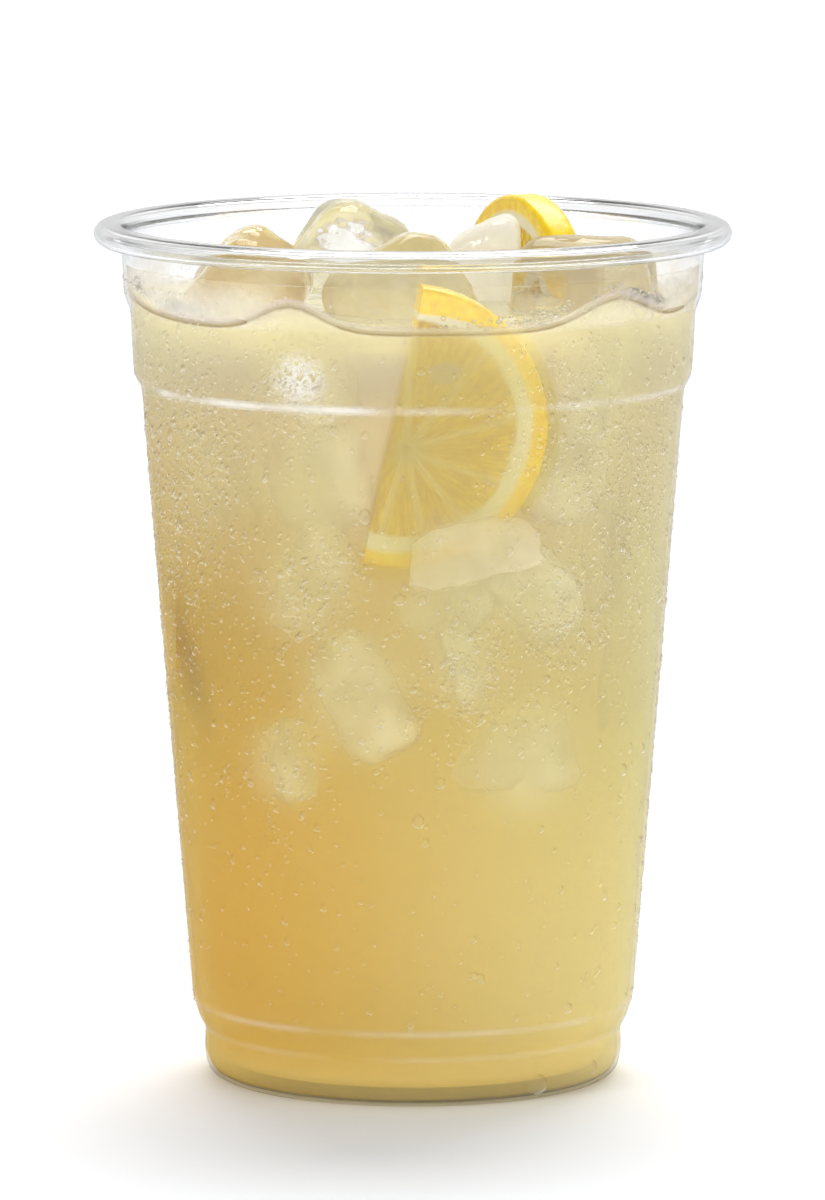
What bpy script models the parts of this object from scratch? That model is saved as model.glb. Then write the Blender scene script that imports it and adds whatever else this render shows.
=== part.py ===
"""Clear plastic cup of iced lemonade, with ice and lemon slices standing out of the drink.

Metres, +Z up. The origin is the middle of the cup's foot, on the surface it stands on.
-Y is the front: the side that shows the large lemon slice against the wall.
"""

import math

import bmesh
import bpy
from mathutils import Euler, Matrix, Vector

MM = 0.001

# Driving dimensions of the cup
CUP_HEIGHT = 132.4 * MM
RIM_RADIUS = 49.0 * MM
WALL = 0.6 * MM
CURL_RADIUS = 1.6 * MM
CURL_TURN = math.radians(245)
MOUTH_BEND = 1.2 * MM
CUP_SIDES = 60

# Outer radius and height of each bend of the wall, from the foot to the mouth
STAND_IN = (29.2 * MM, 0.0)
STAND_OUT = (30.6 * MM, 0.0)
FOOT_LOW = (31.9 * MM, 1.1 * MM)
FOOT_WIDE = (32.4 * MM, 4.0 * MM)
WAIST = (32.2 * MM, 7.6 * MM)
HIP_LOW = (33.2 * MM, 9.1 * MM)
HIP_TOP = (34.2 * MM, 12.4 * MM)
BODY_TOP = (41.75 * MM, 107.2 * MM)
LEDGE_TOP = (42.95 * MM, 109.3 * MM)
BAND_TOP = (43.45 * MM, 119.2 * MM)
NECK_LOW = (44.4 * MM, 121.4 * MM)
NECK_TOP = (44.9 * MM, 130.0 * MM)

# Underside: the panel inside the foot ring stands off the table
PANEL_EDGE = (27.8 * MM, 1.9 * MM)
PANEL_HEIGHT = 2.6 * MM

# The drink fills the cup up to its level and climbs the wall where ice leans on it
GAP = 0.3 * MM
DRINK_LEVEL = 120.0 * MM
DRINK_RINGS = 5
CLIMBS = (
    # angle from the front towards +X, height above the level, spread along the wall
    (-25.0, 4.0 * MM, 9.0),
    (45.0, 4.3 * MM, 12.0),
    (-84.0, 1.9 * MM, 20.0),
    (84.0, 1.9 * MM, 18.0),
    (150.0, 2.6 * MM, 16.0),
    (205.0, 2.2 * MM, 14.0),
)
CLIMB_REACH = 7.0 * MM

# Ice that stands out of the drink: sizes in mm, centre in mm, turns about X, Y and Z in
# degrees, and the slope of the top towards +X in degrees
ICE = {
    "ice_left": ((18.5, 20.5, 19.5), (-25.0, -8.0, 122.3), (15, 37, 0), 0),
    "ice_tall": ((21.5, 20.5, 22.0), (-9.7, 17.0, 123.4), (4, 27, 5), 0),
    "ice_front": ((22.0, 20.0, 23.0), (-1.5, -14.0, 121.2), (-15, 59, 0), 0),
    "ice_frosted": ((14.5, 13.5, 20.0), (10.4, 6.4, 122.4), (0, 0, -6), 24),
    "ice_flat": ((26.0, 18.0, 19.4), (26.2, -8.2, 122.3), (0, 1, -14), 0),
}
ICE_ROUNDING = 0.2
ICE_TOP_TAPER = 0.9

# Lemon slices: a peel round white pith, and pulp sunk between the walls of its segments
SLICE_THICKNESS = 5.0 * MM
PEEL_ROUND = 0.8 * MM
PULP_SHARE = 0.84
PITH_STEP = 0.03
PULP_SINK = 0.45 * MM
CORE_SHARE = 0.1
SLICE_SIDES = 60
WALL_HALF_ANGLE = 4.0

# The front slice is a little over half a wheel, its cut edge to the left and its peel to the
# right against the wall. Its core sits below the middle of the wheel.
FRONT_SLICE_RADIUS = 21.6 * MM
FRONT_SLICE_CENTRE = (-1.3 * MM, -34.9 * MM, 105.0 * MM)
FRONT_SLICE_LEAN = math.radians(4.5)
FRONT_SLICE_TURN = math.radians(7.8)
FRONT_SLICE_CORE_DROP = 3.2 * MM
FRONT_SLICE_CUT_LEAN = math.radians(12.0)
FRONT_SLICE_CUT_OFFSET = -2.0 * MM
FRONT_SLICE_WALLS = (88, 51, 16, -21, -51, -79, -106)

# The back slice is a whole wheel that stands upright, turned away from the front
BACK_SLICE_RADIUS = 19.0 * MM
BACK_SLICE_CENTRE = (17.6 * MM, 20.5 * MM, 115.7 * MM)
BACK_SLICE_TURN = math.radians(-64)
BACK_SLICE_WALLS = tuple(range(0, 360, 40))


def clear_scene():
    for old in list(bpy.data.objects):
        bpy.data.objects.remove(old, do_unlink=True)


def new_collection(name):
    collection = bpy.data.collections.new(name)
    bpy.context.scene.collection.children.link(collection)
    return collection


def new_material(name, colour, roughness, transmission=0.0, ior=1.45):
    material = bpy.data.materials.new(name)
    material.use_nodes = True
    shader = material.node_tree.nodes["Principled BSDF"]
    shader.inputs["Base Color"].default_value = (*colour, 1.0)
    shader.inputs["Roughness"].default_value = roughness
    shader.inputs["Metallic"].default_value = 0.0
    shader.inputs["Transmission Weight"].default_value = transmission
    shader.inputs["IOR"].default_value = ior
    return material


def add_object(name, mesh, collection, material=None):
    obj = bpy.data.objects.new(name, mesh)
    collection.objects.link(obj)
    if material:
        mesh.materials.append(material)
    return obj


def profile_mesh(name, points):
    """A chain of edges in the XZ plane, for a Screw modifier."""
    bm = bmesh.new()
    verts = [bm.verts.new((radius, 0.0, height)) for radius, height in points]
    for near, far in zip(verts, verts[1:]):
        bm.edges.new((near, far))
    mesh = bpy.data.meshes.new(name)
    bm.to_mesh(mesh)
    bm.free()
    return mesh


def turn_round(obj, sides):
    screw = obj.modifiers.new("Turn", "SCREW")
    screw.steps = sides
    screw.render_steps = sides
    screw.use_merge_vertices = True
    screw.merge_threshold = 0.01 * MM
    screw.use_smooth_shade = True


def turned_mesh(name, points, sides):
    """A closed body turned round Z, as a mesh of its own."""
    helper = add_object(name, profile_mesh(name, points), bpy.context.scene.collection)
    turn_round(helper, sides)
    graph = bpy.context.evaluated_depsgraph_get()
    mesh = bpy.data.meshes.new_from_object(helper.evaluated_get(graph))
    bpy.data.objects.remove(helper, do_unlink=True)
    return mesh


def arc(centre, radius, start, end, steps):
    """Points along an arc in the XZ plane, both ends included."""
    for i in range(steps + 1):
        angle = start + (end - start) * i / steps
        yield (centre[0] + radius * math.cos(angle), centre[1] + radius * math.sin(angle))


def inner_radius(height):
    """Radius of the cup's inner wall at a height."""
    bends = (WAIST, HIP_LOW, HIP_TOP, BODY_TOP, LEDGE_TOP, BAND_TOP, NECK_LOW, NECK_TOP)
    for (r0, z0), (r1, z1) in zip(bends, bends[1:]):
        if height <= z1:
            return r0 + (r1 - r0) * (height - z0) / (z1 - z0) - WALL
    return NECK_TOP[0] - WALL


def cup_profile():
    """The sheet's inner face, from the middle of the bottom to the free end of the curled rim."""
    points = [
        (0.0, PANEL_HEIGHT + WALL),
        (PANEL_EDGE[0] - WALL, PANEL_EDGE[1] + WALL),
        (STAND_IN[0] - 0.5 * WALL, STAND_IN[1] + WALL),
        (STAND_OUT[0] - 0.5 * WALL, STAND_OUT[1] + WALL),
        (FOOT_LOW[0] - WALL, FOOT_LOW[1] + 0.5 * WALL),
    ]
    wall = (FOOT_WIDE, WAIST, HIP_LOW, HIP_TOP, BODY_TOP, LEDGE_TOP, BAND_TOP, NECK_LOW)
    points += [(radius - WALL, height) for radius, height in wall]
    bend = (NECK_TOP[0] - WALL + MOUTH_BEND, CUP_HEIGHT - MOUTH_BEND)
    points += arc(bend, MOUTH_BEND, math.pi, math.pi / 2, 2)
    curl = (RIM_RADIUS - CURL_RADIUS, CUP_HEIGHT - CURL_RADIUS)
    points += arc(curl, CURL_RADIUS, math.pi / 2, math.pi / 2 - CURL_TURN, 8)
    return points


def build_cup(collection, material):
    cup = add_object("cup", profile_mesh("cup", cup_profile()), collection, material)
    turn_round(cup, CUP_SIDES)
    wall = cup.modifiers.new("Wall", "SOLIDIFY")
    wall.thickness = WALL
    wall.offset = -1.0
    wall.use_even_offset = True


def drink_profile():
    """From the middle of the surface to the wall, down it, and in along the cup's floor."""
    edge = inner_radius(DRINK_LEVEL) - GAP
    points = [(edge * ring / DRINK_RINGS, DRINK_LEVEL) for ring in range(DRINK_RINGS + 1)]
    side = WALL + GAP
    wall = (BAND_TOP, LEDGE_TOP, BODY_TOP, HIP_TOP, HIP_LOW, WAIST, FOOT_WIDE)
    points += [(radius - side, height) for radius, height in wall]
    points += [
        (FOOT_LOW[0] - side - GAP, FOOT_LOW[1] + WALL),
        (STAND_OUT[0] - side, STAND_OUT[1] + WALL + 1.5 * GAP),
        (PANEL_EDGE[0] - side, PANEL_EDGE[1] + WALL + 1.5 * GAP),
        (0.0, PANEL_HEIGHT + WALL + GAP),
    ]
    return points


def climb(x, y):
    """How far the drink's surface stands above its level at a place."""
    angle = math.degrees(math.atan2(x, -y))
    from_wall = inner_radius(DRINK_LEVEL) - math.hypot(x, y)
    rise = 0.0
    for at, height, spread in CLIMBS:
        apart = (angle - at + 180.0) % 360.0 - 180.0
        rise += height * math.exp(-((apart / spread) ** 2))
    return rise * math.exp(-from_wall / CLIMB_REACH)


def build_drink(collection, material, cutters):
    mesh = turned_mesh("lemonade", drink_profile(), CUP_SIDES)
    for vert in mesh.vertices:
        if vert.co.z > DRINK_LEVEL - 0.1 * GAP:
            vert.co.z += climb(vert.co.x, vert.co.y)
    drink = add_object("lemonade", mesh, collection, material)
    cut = drink.modifiers.new("Ice and lemon", "BOOLEAN")
    cut.operation = "DIFFERENCE"
    cut.operand_type = "COLLECTION"
    cut.collection = cutters


def ice_block(name, collection, block, grow=0.0, material=None):
    """A melting ice block: a cube cage, narrower on top, with bevelled and smoothed edges."""
    sizes, centre, turns, slope = block
    scale = [size * MM + 2.0 * grow for size in sizes]
    bm = bmesh.new()
    bmesh.ops.create_cube(bm, size=1.0)
    bmesh.ops.scale(bm, vec=scale, verts=bm.verts)
    for vert in bm.verts:
        if vert.co.z > 0.0:
            vert.co.x *= ICE_TOP_TAPER
            vert.co.y *= ICE_TOP_TAPER
            vert.co.z += vert.co.x * math.tan(math.radians(slope))
    mesh = bpy.data.meshes.new(name)
    bm.to_mesh(mesh)
    bm.free()
    ice = add_object(name, mesh, collection, material)
    ice.location = Vector(centre) * MM
    ice.rotation_euler = Euler([math.radians(turn) for turn in turns])
    bevel = ice.modifiers.new("Melted edges", "BEVEL")
    bevel.width = ICE_ROUNDING * min(scale)
    bevel.segments = 1
    bevel.limit_method = "NONE"
    smooth = ice.modifiers.new("Smooth", "SUBSURF")
    smooth.levels = 1
    smooth.render_levels = 1
    return ice


def slice_mesh(name, radius, thickness):
    """A plain lemon slice turned round Y, with rings of points where its pith and pulp meet."""
    half = 0.5 * thickness
    face = [(share * radius, half) for share in (0.0, CORE_SHARE, 0.5 * PULP_SHARE)]
    face += [(share * radius, half) for share in (PULP_SHARE, PULP_SHARE + PITH_STEP)]
    face += [(radius - PEEL_ROUND, half), (radius, half - PEEL_ROUND)]
    back = [(size, -depth) for size, depth in reversed(face)]
    mesh = turned_mesh(name, face + back, SLICE_SIDES)
    mesh.transform(Matrix.Rotation(math.radians(90), 4, "X"))
    return mesh


def sink_pulp(mesh, radius, walls):
    """Sinks both faces between the segments' walls, whose angles are in degrees from +X."""
    for vert in mesh.vertices:
        out = math.hypot(vert.co.x, vert.co.z)
        pulp = 1.5 * CORE_SHARE * radius < out < (PULP_SHARE + 0.5 * PITH_STEP) * radius
        angle = math.degrees(math.atan2(vert.co.z, vert.co.x))
        apart = min(abs((angle - wall + 180.0) % 360.0 - 180.0) for wall in walls)
        if pulp and apart > WALL_HALF_ANGLE:
            vert.co.y -= math.copysign(PULP_SINK, vert.co.y)


def cut_slice(mesh, grow):
    """Cuts a slice in the XZ plane along a straight line and closes the cut."""
    side = Vector((math.cos(FRONT_SLICE_CUT_LEAN), 0.0, -math.sin(FRONT_SLICE_CUT_LEAN)))
    bm = bmesh.new()
    bm.from_mesh(mesh)
    everything = bm.verts[:] + bm.edges[:] + bm.faces[:]
    bmesh.ops.bisect_plane(
        bm,
        geom=everything,
        plane_co=side * (FRONT_SLICE_CUT_OFFSET - grow),
        plane_no=side,
        clear_inner=True,
    )
    open_edges = [edge for edge in bm.edges if edge.is_boundary]
    closed = bmesh.ops.holes_fill(bm, edges=open_edges, sides=0)
    bmesh.ops.triangulate(bm, faces=closed["faces"])
    bm.to_mesh(mesh)
    bm.free()


def front_slice(name, collection, grow=0.0, material=None):
    radius = FRONT_SLICE_RADIUS + grow
    mesh = slice_mesh(name, radius, SLICE_THICKNESS + 2.0 * grow)
    if not grow:
        sink_pulp(mesh, radius, FRONT_SLICE_WALLS)
    for vert in mesh.vertices:
        out = math.hypot(vert.co.x, vert.co.z) / radius
        vert.co.z -= FRONT_SLICE_CORE_DROP * (1.0 - out**2)
    cut_slice(mesh, grow)
    piece = add_object(name, mesh, collection, material)
    piece.location = FRONT_SLICE_CENTRE
    piece.rotation_euler = (FRONT_SLICE_LEAN, 0.0, FRONT_SLICE_TURN)
    return piece


def back_slice(name, collection, grow=0.0, material=None):
    radius = BACK_SLICE_RADIUS + grow
    mesh = slice_mesh(name, radius, SLICE_THICKNESS + 2.0 * grow)
    if not grow:
        sink_pulp(mesh, radius, BACK_SLICE_WALLS)
    piece = add_object(name, mesh, collection, material)
    piece.location = BACK_SLICE_CENTRE
    piece.rotation_euler.z = BACK_SLICE_TURN
    return piece


def as_cutter(piece):
    piece.hide_render = True
    piece.display_type = "WIRE"


def main():
    clear_scene()
    parts = new_collection("cup of iced lemonade")
    cutters = new_collection("cutters")
    plastic = new_material("clear plastic", (0.95, 0.97, 0.96), 0.05, 0.9, 1.57)
    lemonade = new_material("cloudy lemonade", (0.80, 0.66, 0.33), 0.12)
    frozen = new_material("ice", (0.90, 0.93, 0.93), 0.08, 0.7, 1.31)
    lemon = new_material("lemon", (0.93, 0.73, 0.16), 0.4)

    build_cup(parts, plastic)
    for name, block in ICE.items():
        ice_block(name, parts, block, material=frozen)
        as_cutter(ice_block(f"room for {name}", cutters, block, grow=GAP))
    front_slice("lemon_slice_front", parts, material=lemon)
    as_cutter(front_slice("room for front slice", cutters, grow=GAP))
    back_slice("lemon_slice_back", parts, material=lemon)
    as_cutter(back_slice("room for back slice", cutters, grow=GAP))
    build_drink(parts, lemonade, cutters)


main()
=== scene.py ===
import math
import random

import bpy
from mathutils import Euler, Matrix, Vector, noise


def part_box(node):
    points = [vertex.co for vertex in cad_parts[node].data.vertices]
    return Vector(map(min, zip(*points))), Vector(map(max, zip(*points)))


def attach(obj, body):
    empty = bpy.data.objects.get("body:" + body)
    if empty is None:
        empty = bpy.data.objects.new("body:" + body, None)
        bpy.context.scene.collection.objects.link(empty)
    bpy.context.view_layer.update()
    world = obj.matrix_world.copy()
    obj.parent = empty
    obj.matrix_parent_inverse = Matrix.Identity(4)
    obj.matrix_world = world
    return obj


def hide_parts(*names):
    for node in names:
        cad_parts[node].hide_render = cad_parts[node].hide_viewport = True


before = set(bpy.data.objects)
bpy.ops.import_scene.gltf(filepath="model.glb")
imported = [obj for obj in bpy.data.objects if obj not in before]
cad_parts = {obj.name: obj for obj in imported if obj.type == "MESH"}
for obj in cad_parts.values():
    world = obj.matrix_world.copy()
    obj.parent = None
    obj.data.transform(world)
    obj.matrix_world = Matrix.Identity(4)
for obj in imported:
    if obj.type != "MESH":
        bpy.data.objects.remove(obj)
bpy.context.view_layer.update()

MM = 0.001

# The cup, as in the CAD
CUP_HEIGHT = 132.4 * MM
RIM_RADIUS = 49.0 * MM
WALL = 0.6 * MM
CURL_RADIUS = 1.6 * MM
CURL_TURN = math.radians(245)
MOUTH_BEND = 1.2 * MM
STAND_IN = (29.2 * MM, 0.0)
STAND_OUT = (30.6 * MM, 0.0)
FOOT_LOW = (31.9 * MM, 1.1 * MM)
FOOT_WIDE = (32.4 * MM, 4.0 * MM)
WAIST = (32.2 * MM, 7.6 * MM)
HIP_LOW = (33.2 * MM, 9.1 * MM)
HIP_TOP = (34.2 * MM, 12.4 * MM)
BODY_TOP = (41.75 * MM, 107.2 * MM)
LEDGE_TOP = (42.95 * MM, 109.3 * MM)
BAND_TOP = (43.45 * MM, 119.2 * MM)
NECK_LOW = (44.4 * MM, 121.4 * MM)
NECK_TOP = (44.9 * MM, 130.0 * MM)
PANEL_EDGE = (27.8 * MM, 1.9 * MM)
PANEL_HEIGHT = 2.6 * MM
CUP_SIDES = 128
RIM_TINT = (0.93, 0.93, 0.925, 1.0)
RIM_EDGE_TINT = (0.58, 0.58, 0.575, 1.0)

# The drink's surface, and where it climbs the wall: angle from the front towards +X, height
# above the level, spread along the wall in degrees
LEVEL = 120.0 * MM
CLIMBS = (
    (-25.0, 4.0 * MM, 9.0),
    (45.0, 4.3 * MM, 12.0),
    (-84.0, 1.9 * MM, 20.0),
    (84.0, 1.9 * MM, 18.0),
    (150.0, 2.6 * MM, 16.0),
    (205.0, 2.2 * MM, 14.0),
)

# How a climb dies away from the wall inwards and from the surface down, and the rings of the
# drink's mesh in mm below the surface
CLIMB_REACH = 7.0 * MM
CLIMB_DEPTH = 10.0 * MM
LIP_STEPS = (0.3, 0.7, 1.3, 2.2, 3.5, 5.0, 7.0)

# The drink reaches into the wall, so that no air shows between them. Its painted core stands
# back from the wall, more and more from CORE_LOW up to CORE_HIGH, and CORE_DROP below the surface
DRINK_REACH = 0.5 * MM
CORE_INSET = 5.0 * MM
CORE_INSET_LOW = 1.6 * MM
CORE_LOW = 18.0 * MM
CORE_HIGH = 84.0 * MM
CORE_DROP = 4.0 * MM

# The drink's fog: its colour, how dense it is and how much of its light goes straight on
FOG_COLOUR = (0.9995, 0.980, 0.745, 1.0)
FOG_DENSITY = 270.0
FOG_FORWARD = 0.62

# Ice that stands out: sizes and centre in mm, turns in degrees, slope of the top in degrees
ICE = {
    "ice_left": ((18.5, 20.5, 19.5), (-25.0, -8.0, 122.3), (15, 37, 0), 0),
    "ice_tall": ((21.5, 20.5, 22.0), (-9.7, 17.0, 123.4), (4, 27, 5), 0),
    "ice_front": ((22.0, 20.0, 23.0), (-1.5, -14.0, 121.2), (-15, 59, 0), 0),
    "ice_frosted": ((14.5, 13.5, 20.0), (10.4, 6.4, 122.4), (0, 0, -6), 24),
    "ice_flat": ((26.0, 18.0, 19.4), (26.2, -8.2, 122.3), (0, 1, -14), 0),
}
ICE_EDGE = 0.32
ICE_TOP_TAPER = 0.9

# Sunk ice near the wall: angle from the front, height, depth behind the wall and size in mm,
# then its roll in the wall's plane, its yaw and its pitch in degrees
SUNK_ICE = (
    (-25, 112, 1.4, (18, 13, 17), 10, 6, -4),
    (-24, 97, 2.2, (22, 14, 20), -12, -6, 6),
    (-52, 96, 2.6, (20, 14, 20), 20, 8, 4),
    (-27, 81, 1.2, (14, 13, 23), 24, 8, 4),
    (10, 77, 3.0, (18, 14, 15), 25, -10, 10),
    (34, 79, 1.2, (17, 13, 22), -42, -6, 6),
    (-14, 64, 1.0, (16, 13, 24), -28, -4, 4),
    (13, 68, 1.0, (8, 10, 18), -16, 8, 0),
    (-34, 53, 1.0, (12, 12, 17), -14, 8, 4),
    (31, 54, 1.5, (26, 14, 15), 6, 0, 0),
    (42, 101, 1.8, (20, 13, 28), 6, -6, 0),
    (46, 113, 1.8, (18, 13, 13), 4, -6, 0),
    (14, 86, 0.7, (24, 5, 11), -10, 0, -4),
    (62, 84, 1.8, (20, 14, 22), -12, 6, 4),
    (70, 62, 2.4, (20, 14, 20), 16, 0, 6),
    (-72, 50, 2.4, (18, 14, 20), 10, 6, 0),
    (-80, 104, 1.8, (20, 14, 18), 6, 0, 0),
    (105, 100, 1.2, (22, 14, 20), 20, 6, 4),
    (118, 72, 1.0, (19, 14, 19), -16, 8, 6),
    (140, 95, 0.8, (21, 14, 22), 12, -8, 4),
    (150, 60, 1.2, (20, 14, 18), -22, 4, 6),
    (172, 82, 0.6, (18, 14, 22), 18, 8, 4),
    (190, 106, 1.0, (22, 14, 20), -8, 6, 4),
    (205, 64, 0.8, (19, 14, 20), 14, -6, 6),
    (222, 90, 0.8, (21, 14, 21), -20, 8, 6),
    (246, 72, 1.0, (19, 14, 19), 10, 4, 4),
    (252, 102, 1.0, (20, 14, 22), 24, -6, 4),
)

# Sunk ice up to this angle from the front is seen, with the drink painted paler before it
SEEN_ICE_ANGLE = 60

# Lemon slices
SLICE_THICKNESS = 5.0 * MM
PEEL_ROUND = 0.8 * MM
PULP_SHARE = 0.78
PULP_SINK = 0.45 * MM
FRONT_SLICE_RADIUS = 21.6 * MM
FRONT_SLICE_CENTRE = (-1.3 * MM, -34.9 * MM, 105.0 * MM)
FRONT_SLICE_TURNS = (4.5, 0.0, 7.8)
FRONT_SLICE_CORE_DROP = 3.2 * MM
FRONT_SLICE_CUT_LEAN = math.radians(12.0)
FRONT_SLICE_CUT_OFFSET = -2.0 * MM
FRONT_SLICE_WALLS = (88, 51, 16, -21, -51, -79, -106)
BACK_SLICE_RADIUS = 19.0 * MM
BACK_SLICE_CENTRE = (17.6 * MM, 20.5 * MM, 115.7 * MM)
BACK_SLICE_TURNS = (0.0, 0.0, -64.0)
BACK_SLICE_WALLS = tuple(range(0, 360, 40))
SUNK_SLICE_RADIUS = 10.0 * MM
SUNK_SLICE_CENTRE = (-33.8 * MM, -1.0 * MM, 70.0 * MM)
SUNK_SLICE_TURNS = (0.0, -4.6, -90.0)

# Drops outside the cup: depth as a share of the radius, and how much of that is sunk
DROP_DEPTH = 0.7
DROP_SUNK = 0.25

# Where drops gather: angle, its spread, height, its spread in mm, share of the drops
DROP_FIELDS = (
    (-62, 11, 92, 16, 0.14),
    (-48, 8, 100, 10, 0.06),
    (58, 9, 92, 14, 0.09),
    (-24, 6, 110, 4, 0.04),
    (36, 7, 76, 7, 0.04),
    (12, 7, 66, 6, 0.04),
    (-22, 7, 80, 7, 0.04),
    (34, 8, 104, 9, 0.05),
    (-35, 12, 55, 12, 0.04),
    (-88, 7, 66, 26, 0.08),
    (88, 7, 66, 26, 0.08),
    (130, 30, 85, 22, 0.03),
    (220, 30, 80, 24, 0.03),
)

# How many drops of each size
FINE_DROPS = 5200
MEDIUM_DROPS = 1600
LARGE_DROPS = 70

# Where bubbles gather along the drink's edge: angle, its spread and how many; and loose ones
BUBBLE_FIELDS = ((-55, 5, 170), (56, 6, 180), (24, 8, 60), (180, 90, 200))
LOOSE_BUBBLES = 220

# Painted highlights on the wall: a bright glint patch at (x, height) and its reach, and the heights
# of the highlight lines
GLINT = (-17.0 * MM, 112.5 * MM)
GLINT_REACH = 5.4 * MM
LEDGE_HIGHLIGHT = 108.0 * MM
HIP_HIGHLIGHT = 11.8 * MM
FOOT_HIGHLIGHT = 7.6 * MM

# Where the mist inside the wall ends, and how far out the drink's free surface reaches
MIST_TOP = 129.5 * MM
SURFACE_EDGE = 42.7 * MM

# The photograph's camera, in metres and degrees; its lens and sensor in mm
CAMERA_BACK = 1.3746
CAMERA_HEIGHT = 0.2664
CAMERA_PITCH = 7.98
CAMERA_LENS = 269.6
CAMERA_SHIFT = -0.4 / 1200
CAMERA_SENSOR = 36.0

# The studio: how bright its walls and ceiling are, and how much darker its left and right are
WALLS_GLOW = 1.2
CEILING_GLOW = 0.5
LEFT_SHADE = 0.55
RIGHT_SHADE = 0.3
FLOOR_TONE = (0.905, 0.92, 0.95, 1.0)
SUN_POWER = 2.4
SUN_SPREAD = 42.0
SUN_TURNS = (-32.0, 4.0, 0.0)
SOFTBOX_PLACE = (-0.8, -0.8, 0.9)
SOFTBOX_TARGET = (0.0, 0.0, 0.07)
SOFTBOX_SIZE = (0.14, 0.3)
SOFTBOX_POWER = 2.0


def deselect():
    bpy.ops.object.select_all(action="DESELECT")


def edit(piece):
    """Opens a piece for edit commands on its whole mesh."""
    deselect()
    piece.select_set(True)
    bpy.context.view_layer.objects.active = piece
    bpy.ops.object.mode_set(mode="EDIT")
    bpy.ops.mesh.select_all(action="SELECT")


def leave_edit():
    bpy.ops.object.mode_set(mode="OBJECT")


def apply_modifiers(piece):
    deselect()
    bpy.context.view_layer.objects.active = piece
    for modifier in list(piece.modifiers):
        bpy.ops.object.modifier_apply(modifier=modifier.name)


def smooth(mesh, sharp_from=None):
    """Shades a mesh smooth, except at edges that bend by more than sharp_from degrees."""
    for face in mesh.polygons:
        face.use_smooth = True
    if sharp_from:
        mesh.set_sharp_from_angle(angle=math.radians(sharp_from))


def place(piece, matrix):
    """Moves the mesh to its place and leaves its object at the origin."""
    piece.data.transform(matrix @ piece.matrix_basis)
    piece.matrix_basis = Matrix.Identity(4)


def at(location, turns):
    """The matrix that turns a piece by degrees about X, Y and Z and puts it at a location."""
    turn = Euler([math.radians(angle) for angle in turns]).to_matrix().to_4x4()
    return Matrix.Translation(location) @ turn


def finish_piece(piece, materials, node=None):
    """Gives a piece its looks and its body, and hides the CAD node that it stands for."""
    for material in materials:
        piece.data.materials.append(material)
    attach(piece, "root")
    if node:
        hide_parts(node)


# Profiles


def arc(centre, radius, start, end, steps):
    """Points along a circle from one angle to another."""
    for i in range(steps + 1):
        angle = start + (end - start) * i / steps
        yield (centre[0] + radius * math.cos(angle), centre[1] + radius * math.sin(angle))


def softened(points, reach):
    """Rounds the bends of a profile, starting at most `reach` before each."""
    soft = [points[0]]
    for before, here, after in zip(points, points[1:], points[2:]):
        here = Vector(here)
        to_before = Vector(before) - here
        to_after = Vector(after) - here
        near = here + to_before * min(reach / to_before.length, 0.45)
        far = here + to_after * min(reach / to_after.length, 0.45)
        soft += [tuple(near), tuple((near + far + 2.0 * here) / 4.0), tuple(far)]
    return soft + [points[-1]]


def stepped(points, reach):
    """Splits what is longer than `reach`."""
    steps = [points[0]]
    for near, far in zip(points, points[1:]):
        near, far = Vector(near), Vector(far)
        count = max(1, math.ceil((far - near).length / reach))
        steps += [tuple(near.lerp(far, (i + 1) / count)) for i in range(count)]
    return steps


def inner_radius(height):
    """The inside of the cup's wall at a height, left straight between its bends."""
    bends = (STAND_OUT, WAIST, HIP_LOW, HIP_TOP, BODY_TOP, LEDGE_TOP, BAND_TOP, NECK_LOW, NECK_TOP)
    for (r0, z0), (r1, z1) in zip(bends, bends[1:]):
        if height <= z1:
            return r0 + (r1 - r0) * (height - z0) / (z1 - z0) - WALL
    return NECK_TOP[0] - WALL


def turned(name, profile, sides):
    """Extrudes a profile from one point, then spins it round Z and joins its ends."""
    deselect()
    bpy.ops.mesh.primitive_plane_add(size=MM, location=(0.0, 0.0, 0.0))
    piece = bpy.context.object
    piece.name = name
    bpy.ops.object.mode_set(mode="EDIT")
    bpy.ops.mesh.select_all(action="SELECT")
    bpy.ops.mesh.merge(type="CENTER")
    bpy.ops.transform.translate(value=(profile[0][0], 0.0, profile[0][1]))
    for near, far in zip(profile, profile[1:]):
        step = (far[0] - near[0], 0.0, far[1] - near[1])
        bpy.ops.mesh.extrude_vertices_move(TRANSFORM_OT_translate={"value": step})
    bpy.ops.mesh.select_all(action="SELECT")
    bpy.ops.mesh.spin(steps=sides, angle=2.0 * math.pi, center=(0, 0, 0), axis=(0, 0, 1))
    bpy.ops.mesh.select_all(action="SELECT")
    bpy.ops.mesh.remove_doubles(threshold=0.01 * MM)
    bpy.ops.mesh.normals_make_consistent(inside=False)
    leave_edit()
    return piece


# Finishes


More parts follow.
